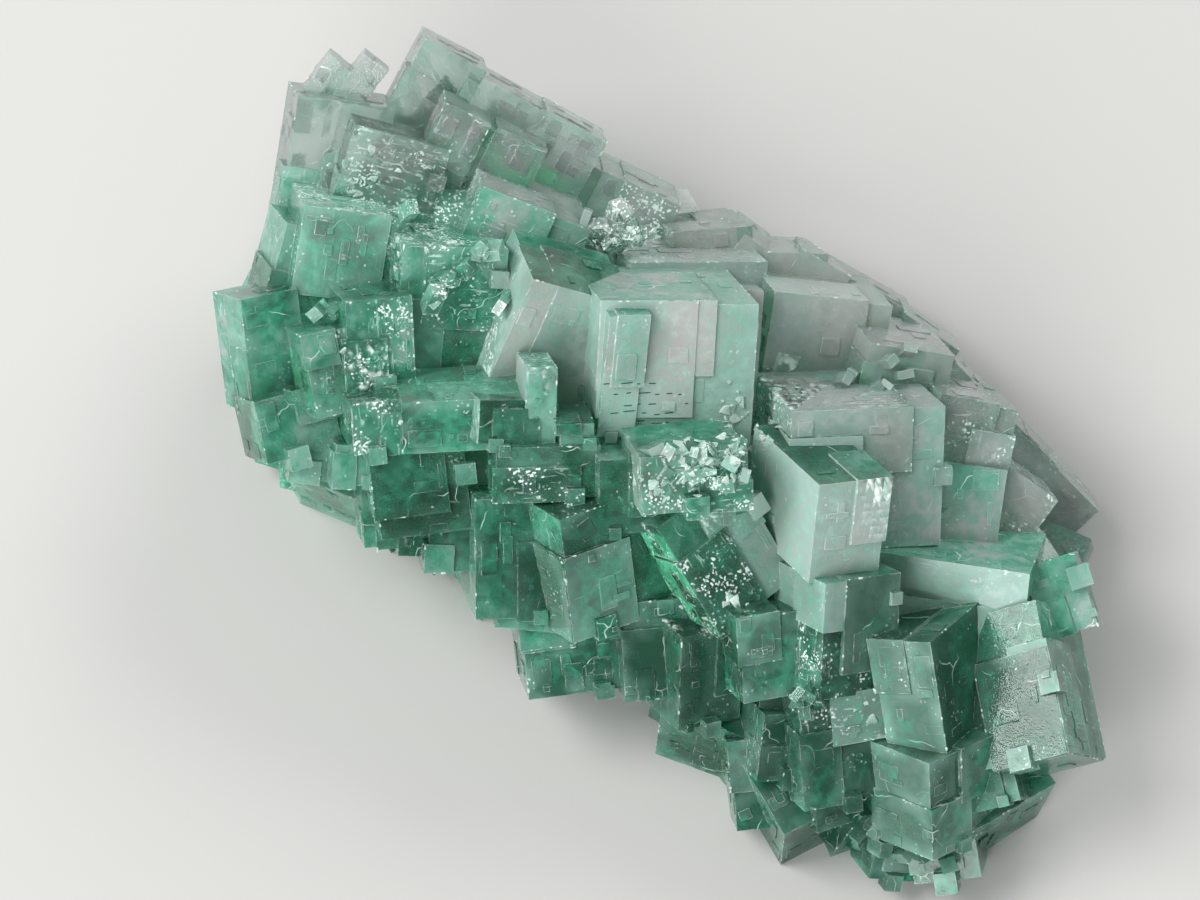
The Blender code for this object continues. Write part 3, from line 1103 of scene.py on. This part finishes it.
@dataclass
class GrowthPlates:
    """The low growth plates on the cube faces: square-cornered, a tenth of a millimetre thick."""

    sampler: FaceSampler
    material: bpy.types.Material
    density: Density = Density(usual=0.4, sparkling=0.0, satin_sheen=0.36, hidden=0.15)
    tries: int = 8000
    lengths: tuple[float, float] = (0.7, 4.2)
    widths: tuple[float, float] = (0.5, 2.6)
    heights: tuple[float, float] = (0.05, 0.16)
    seed: int = 21

    def build(self) -> bpy.types.Object:
        """Builds the plates.

        Returns:
            The finished piece.
        """
        chance = random.Random(self.seed)
        places = []
        for spot in self.sampler.picks(self.tries, chance, self.density.share):
            length, width = chance.uniform(*self.lengths), chance.uniform(*self.widths)
            if chance.random() < 0.5:
                length, width = width, length
            height = chance.uniform(*self.heights)
            if self.sampler.fits(spot, length, width):
                places.append(spot.matrix(Vector((length, width, 2.0 * height))))
        piece = lay_copies("growth_plates", cut_block(0.06), places)
        return finish_piece(self.density.tones.paint_like(piece, self.sampler), self.material)


@dataclass
class SmallCubes:
    """The small cubes that sit half sunk on the larger crystals and along their broken ledges."""

    sampler: FaceSampler
    material: bpy.types.Material
    density: Density = Density(usual=0.05, sparkling=0.35, satin_sheen=0.3, hidden=0.05)
    tries: int = 2600
    edges: tuple[float, float] = (0.5, 1.5)
    rarity: float = 2.5  # how much rarer the large cubes are
    widths: tuple[float, float] = (0.8, 1.2)  # shares of the edge, as are the next two
    heights: tuple[float, float] = (0.8, 1.1)
    sunk: tuple[float, float] = (0.12, 0.38)
    lean: float = 5.0  # degrees
    seed: int = 31

    def build(self) -> bpy.types.Object:
        """Builds the cubes.

        Returns:
            The finished piece.
        """
        chance = random.Random(self.seed)
        places = []
        for spot in self.sampler.picks(self.tries, chance, self.density.share):
            edge = self.edges[0] + (self.edges[1] - self.edges[0]) * chance.random() ** self.rarity
            size = Vector((edge, edge * chance.uniform(*self.widths), edge * chance.uniform(*self.heights)))
            turn = Euler([math.radians(chance.gauss(0, self.lean)) for _ in range(3)])
            places.append(spot.matrix(size, -edge * chance.uniform(*self.sunk), turn))
        piece = lay_copies("small_cubes", cut_block(0.04), places)
        return finish_piece(self.density.tones.paint_like(piece, self.sampler), self.material)


@dataclass
class CleavageFlakes:
    """The white, glinting flakes where crystals broke: thin steps of fresh cleavage."""

    sampler: FaceSampler
    finish: CleavedWhite = CleavedWhite()
    band: tuple[Zone, ...] = (
        Zone(12.0, 4.0, 3.5, 5.0, 1.0),
        Zone(7.5, -1.0, 5.0, 3.2, 1.0),
        Zone(2.5, -3.8, 4.5, 2.4, 0.9),
        Zone(-2.0, 26.5, 4.0, 2.8, 0.8),
        Zone(-28.0, 23.0, 6.0, 3.0, 0.35),
        Zone(-33.0, 33.0, 4.0, 3.0, 0.3),
        Zone(25.5, -30.0, 2.0, 2.0, 0.5),
        Zone(-35.5, 10.5, 1.6, 3.4, 0.5),
        Zone(6.0, -18.0, 5.0, 2.0, 0.35),
    )
    tries: int = 18000
    lengths: tuple[float, float] = (0.35, 1.6)
    rarity: float = 1.6  # how much rarer the large flakes are
    widths: tuple[float, float] = (0.5, 1.0)  # shares of the length, as is the next
    heights: tuple[float, float] = (0.1, 0.25)
    lifts: tuple[float, float] = (0.0, 0.12)
    lean: float = 13.0  # degrees
    turned: float = 0.1  # the outlook below which a face has none
    seed: int = 41

    def build(self) -> bpy.types.Object:
        """Builds the flakes.

        Returns:
            The finished piece.
        """
        chance = random.Random(self.seed)
        places = []
        for spot in self.sampler.picks(self.tries, chance, self.share):
            edge = self.lengths[0] + (self.lengths[1] - self.lengths[0]) * chance.random() ** self.rarity
            size = Vector((edge, edge * chance.uniform(*self.widths), edge * chance.uniform(*self.heights)))
            lean = [math.radians(chance.gauss(0, self.lean)) for _ in range(2)]
            turn = Euler((*lean, chance.choice((0.0, 1.57, 3.14)) + chance.gauss(0, 0.25)))
            places.append(spot.matrix(size, chance.uniform(*self.lifts), turn))
        piece = lay_copies("cleavage_flakes", self.flake(), places)
        return finish_piece(piece, self.finish.build("cleaved_white"))

    def flake(self) -> bpy.types.Object:
        """Models a unit flake: a slab whose corners were knocked off askew.

        Returns:
            The flake.
        """
        flake = cut_block(0.1)
        bpy.ops.object.mode_set(mode="EDIT")
        cut_off((0.28, 0.22, 0.0), (0.8, 0.6, 0.12))
        cut_off((-0.3, -0.1, 0.0), (-0.9, 0.35, 0.2))
        bpy.ops.object.mode_set(mode="OBJECT")
        return flake

    def share(self, spot: Spot) -> float:
        """How many flakes a place gets: none on faces that look away.

        Args:
            spot: the place.

        Returns:
            The share of the picks that stay.
        """
        if spot.outlook() < self.turned:
            return 0.0
        return most(self.band, to_display(spot.point)) ** 1.5


@dataclass
class EdgeChips:
    """The small white chips along the crystals' edges."""

    whole: bpy.types.Mesh
    finish: CleavedWhite = CleavedWhite(roughness=0.3, transmission=0.25)
    spacing: float = 1.5  # mm, as are the lengths below
    sizes: tuple[float, float] = (0.12, 0.42)
    shortest_edge: float = 2.0
    sharp: float = 0.9  # radians
    lengths: tuple[float, float] = (1.0, 2.4)  # shares of the size, as are the next two
    section: tuple[float, float] = (0.8, 0.7)
    sunk: float = 0.22
    seed: int = 51

    def build(self) -> bpy.types.Object:
        """Builds the chips.

        Returns:
            The finished piece.
        """
        chance = random.Random(self.seed)
        places = []
        for start, end, outward in self.sharp_edges():
            run = end - start
            rough = chance.random() ** 2
            for _ in range(int(run.length / MM / self.spacing * rough)):
                point = start + run * chance.random()
                if point.z < FaceSampler.clearance * MM:
                    continue
                size = chance.uniform(*self.sizes)
                turn = Euler([chance.uniform(-3.1, 3.1) for _ in range(3)]).to_matrix().to_4x4()
                along = run.to_track_quat("X", "Z").to_matrix().to_4x4()
                edges = (size * share for share in (chance.uniform(*self.lengths), *self.section))
                shape = Matrix.Diagonal((*edges, 1.0 / MM)) * MM
                place = Matrix.Translation(point - outward * size * self.sunk * MM)
                places.append(place @ along @ shape @ turn)
        piece = lay_copies("edge_chips", self.chip(), places)
        return finish_piece(piece, self.finish.build("chipped_white"))

    def sharp_edges(self) -> list[tuple[Vector, Vector, Vector]]:
        """Finds the long outer edges between faces that meet nearly square.

        Returns:
            Each edge's start, end and outward side.
        """
        shape = bmesh.new()
        shape.from_mesh(self.whole)
        found = []
        for edge in shape.edges:
            if len(edge.link_faces) != 2 or not edge.is_convex:
                continue
            if edge.calc_length() >= self.shortest_edge * MM and edge.calc_face_angle() > self.sharp:
                outward = (edge.link_faces[0].normal + edge.link_faces[1].normal).normalized()
                found.append((edge.verts[0].co.copy(), edge.verts[1].co.copy(), outward))
        shape.free()
        return found

    def chip(self) -> bpy.types.Object:
        """Models a unit chip: a small faceted splinter.

        Returns:
            The chip.
        """
        deselect_all()
        bpy.ops.mesh.primitive_ico_sphere_add(subdivisions=1, radius=0.5, location=(0.0, 0.0, 0.0))
        chip = bpy.context.object
        bpy.ops.object.mode_set(mode="EDIT")
        cut_off((0.2, 0.1, 0.1), (0.7, 0.5, 0.5))
        bpy.ops.object.mode_set(mode="OBJECT")
        return chip


@dataclass
class EtchSlits:
    """The short slits that etching left in rows on one large face, coloured dark as a painted shade of their
    recesses.
    """

    sampler: FaceSampler
    # Dark matte green: a painted shade in the slits' recesses.
    finish: PlainMatt = PlainMatt("etch_slit_painted_shade", "1f5a48", 0.5)
    rows: tuple[tuple[float, float, float], ...] = (
        (7.7, -5.4, 0.2),
        (6.5, -4.2, 4.0),
        (5.4, -3.0, 5.2),
        (4.4, -4.6, 3.4),
        (3.3, -1.5, 4.8),
    )  # how far up each row is, and where it starts and ends, in mm of the display side
    lengths: tuple[float, float] = (0.35, 1.7)
    gaps: tuple[float, float] = (0.2, 1.3)
    stray: float = 0.12
    width: float = 0.16
    depth: float = 0.1
    sunk: float = 0.3  # share of the depth
    lean: float = 0.04  # radians
    height: float = 200.0  # mm above the display side, from where each slit's face is looked for
    seed: int = 71

    def build(self) -> bpy.types.Object:
        """Builds the slits.

        Returns:
            The finished piece.
        """
        chance = random.Random(self.seed)
        places = []
        for up, start, end in self.rows:
            right = start
            while right < end:
                length = chance.uniform(*self.lengths)
                spot = self.below(right + length / 2, up + chance.gauss(0, self.stray))
                if spot and self.sampler.fits(spot, length, self.width):
                    turn = Euler((0.0, 0.0, chance.gauss(0, self.lean)))
                    size = Vector((length, self.width, self.depth))
                    places.append(spot.matrix(size, -self.sunk * self.depth, turn))
                right += length + chance.uniform(*self.gaps)
        piece = lay_copies("etch_slits", cut_block(0.2), places)
        return finish_piece(piece, self.finish.build())

    def below(self, right: float, up: float) -> Spot | None:
        """Finds the place on the crystal under a point of the display side.

        Args:
            right: how far right the point is, in mm.
            up: how far up it is, in mm.

        Returns:
            The place with its axes along the rows, or None where there is no crystal.
        """
        hit = self.sampler.tree.ray_cast(from_display((right, up, self.height)), -AXES.col[2])
        if hit[0] is None:
            return None
        across = hit[1].cross(AXES.col[0]).normalized()
        return Spot(hit[0], across.cross(hit[1]), across, hit[1], hit[2])


@dataclass
class FractureVeils:
    """The healed fractures inside: thin wispy sheets that follow the cleavage, seen through the faces."""

    sampler: FaceSampler
    finish: FractureVeil = FractureVeil()
    density: Density = Density(usual=0.45, sparkling=0.0, satin_sheen=0.3, hidden=0.1, turned=0.0)
    tries: int = 900
    depths: tuple[float, float] = (0.5, 4.5)
    radii: tuple[float, float] = (1.2, 5.5)
    leans: tuple[float, ...] = (0.0, 0.0, 0.0, 35.0, 55.0)  # degrees: along the cube faces, or across
    stray: float = 4.0  # degrees
    width: float = 0.7  # share of the length
    raggedness: tuple[float, float] = (0.7, 1.0)  # share of the radius that each rim point reaches
    below: float = 1.0  # mm of crystal that there is below each veil at least
    reach: float = 0.9  # share of the way to the crystal's outside that a veil may take up
    rim_points: int = 14
    seed: int = 61

    def build(self) -> bpy.types.Object:
        """Builds the veils.

        Returns:
            The finished piece.
        """
        chance = random.Random(self.seed)
        veils = bmesh.new()
        for spot in self.sampler.picks(self.tries, chance, self.density.share):
            self.add_veil(veils, spot, chance)
        mesh = bpy.data.meshes.new("fracture_veils")
        veils.to_mesh(mesh)
        veils.free()
        return finish_piece(new_object("fracture_veils", mesh), self.finish.build())

    def add_veil(self, veils: bmesh.types.BMesh, spot: Spot, chance: random.Random) -> None:
        """Adds a sheet under a place, cut short where the crystal ends.

        Args:
            veils: the mesh that it is added to.
            spot: the place on the face above it.
            chance: the source of chance.
        """
        depth = chance.uniform(*self.depths)
        radius = chance.uniform(*self.radii)
        centre = spot.point - spot.normal * depth * MM
        if self.sampler.depth(spot.point - spot.normal * 0.05 * MM, -spot.normal) < depth + self.below:
            return
        lean = [math.radians(chance.choice(self.leans) + chance.gauss(0, self.stray)) for _ in range(3)]
        axes = Matrix((spot.along, spot.across, spot.normal)).transposed() @ Euler(lean).to_matrix()
        points = []
        for index in range(self.rim_points):
            angle = math.tau * index / self.rim_points
            direction = axes @ Vector((math.cos(angle), self.width * math.sin(angle), 0.0))
            length = direction.length
            direction.normalize()
            wanted = radius * length * chance.uniform(*self.raggedness)
            reach = min(wanted, self.sampler.depth(centre, direction) * self.reach)
            points.append(centre + direction * reach * MM)
        rim = [veils.verts.new(point) for point in points]
        middle = veils.verts.new(centre)
        for index, corner in enumerate(rim):
            veils.faces.new((middle, corner, rim[(index + 1) % self.rim_points]))


@dataclass(frozen=True)
class SoftLight:
    """A square soft light: its place and edge in metres, and its power in watts."""

    name: str
    place: tuple[float, float, float]
    size: float
    power: float

    def build(self) -> None:
        """Builds the light, which looks at the cluster."""
        lamp = bpy.data.lights.new(self.name, "AREA")
        lamp.size = self.size
        lamp.energy = self.power
        light = new_object(self.name, lamp)
        light.location = self.place
        light.rotation_euler = (-Vector(self.place)).to_track_quat("-Z", "Y").to_euler()


@dataclass
class Studio:
    """The pale floor, soft lights and the camera."""

    floor_finish: PlainMatt = PlainMatt("pale_paper", "b2b1ae", 0.85)
    floor_size: float = 4.0  # metres, as are the floor's height and the camera's distance
    floor_height: float = -0.00005
    lights: tuple[SoftLight, ...] = (
        SoftLight("key", (-0.55, -0.45, 0.85), 0.6, 12.0),
        SoftLight("fill", (0.35, -0.95, 0.6), 0.7, 10.0),
        SoftLight("back", (-0.1, 0.9, 0.7), 0.6, 8.0),
    )
    sky: tuple[float, ...] = (0.93, 0.96, 1.0, 1.0)
    sky_strength: float = 0.4
    camera_distance: float = 0.5
    lens: float = 128.0
    aim: Vector = field(default_factory=lambda: Vector((-5.75, 0.0, 0.0)))

    def build(self) -> None:
        """Builds the floor, the lights, the world and the camera."""
        self.build_floor()
        for light in self.lights:
            light.build()
        world = bpy.data.worlds.new("studio")
        world.use_nodes = True
        background = world.node_tree.nodes["Background"]
        background.inputs["Color"].default_value = self.sky
        background.inputs["Strength"].default_value = self.sky_strength
        bpy.context.scene.world = world
        bpy.context.scene.view_settings.view_transform = "Standard"
        bpy.context.scene.cycles.caustics_reflective = False
        self.build_camera()

    def build_floor(self) -> None:
        """Builds the pale floor that the cluster rests on."""
        deselect_all()
        bpy.ops.mesh.primitive_plane_add(size=self.floor_size, location=(0.0, 0.0, self.floor_height))
        floor = bpy.context.object
        floor.name = "floor"
        floor.data.materials.append(self.floor_finish.build())

    def build_camera(self) -> None:
        """Builds the camera, which looks straight down the display frame's out axis."""
        camera = new_object("camera", bpy.data.cameras.new("camera"))
        camera.data.lens = self.lens
        camera.data.clip_start = 0.01
        camera.location = from_display(self.aim + Vector((0, 0, self.camera_distance / MM)))
        camera.rotation_euler = AXES.to_euler()
        bpy.context.scene.camera = camera


def main() -> None:
    """Builds the cluster's pieces and the studio."""
    logging.basicConfig(level=logging.INFO)
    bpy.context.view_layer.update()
    outside = CrystalBody()
    body = outside.build()
    etched = body.data.materials[0]
    sampler = FaceSampler(outside.whole_faces, outside.edges)
    pieces = [
        body,
        GrowthPlates(sampler, etched).build(),
        SmallCubes(sampler, etched).build(),
        CleavageFlakes(sampler).build(),
        EdgeChips(outside.whole_faces).build(),
        EtchSlits(sampler).build(),
        FractureVeils(sampler).build(),
    ]
    for piece in pieces:
        LOG.info("%s: %d faces", piece.name, len(piece.data.polygons))
    Studio().build()


if __name__ == "__main__":
    main()
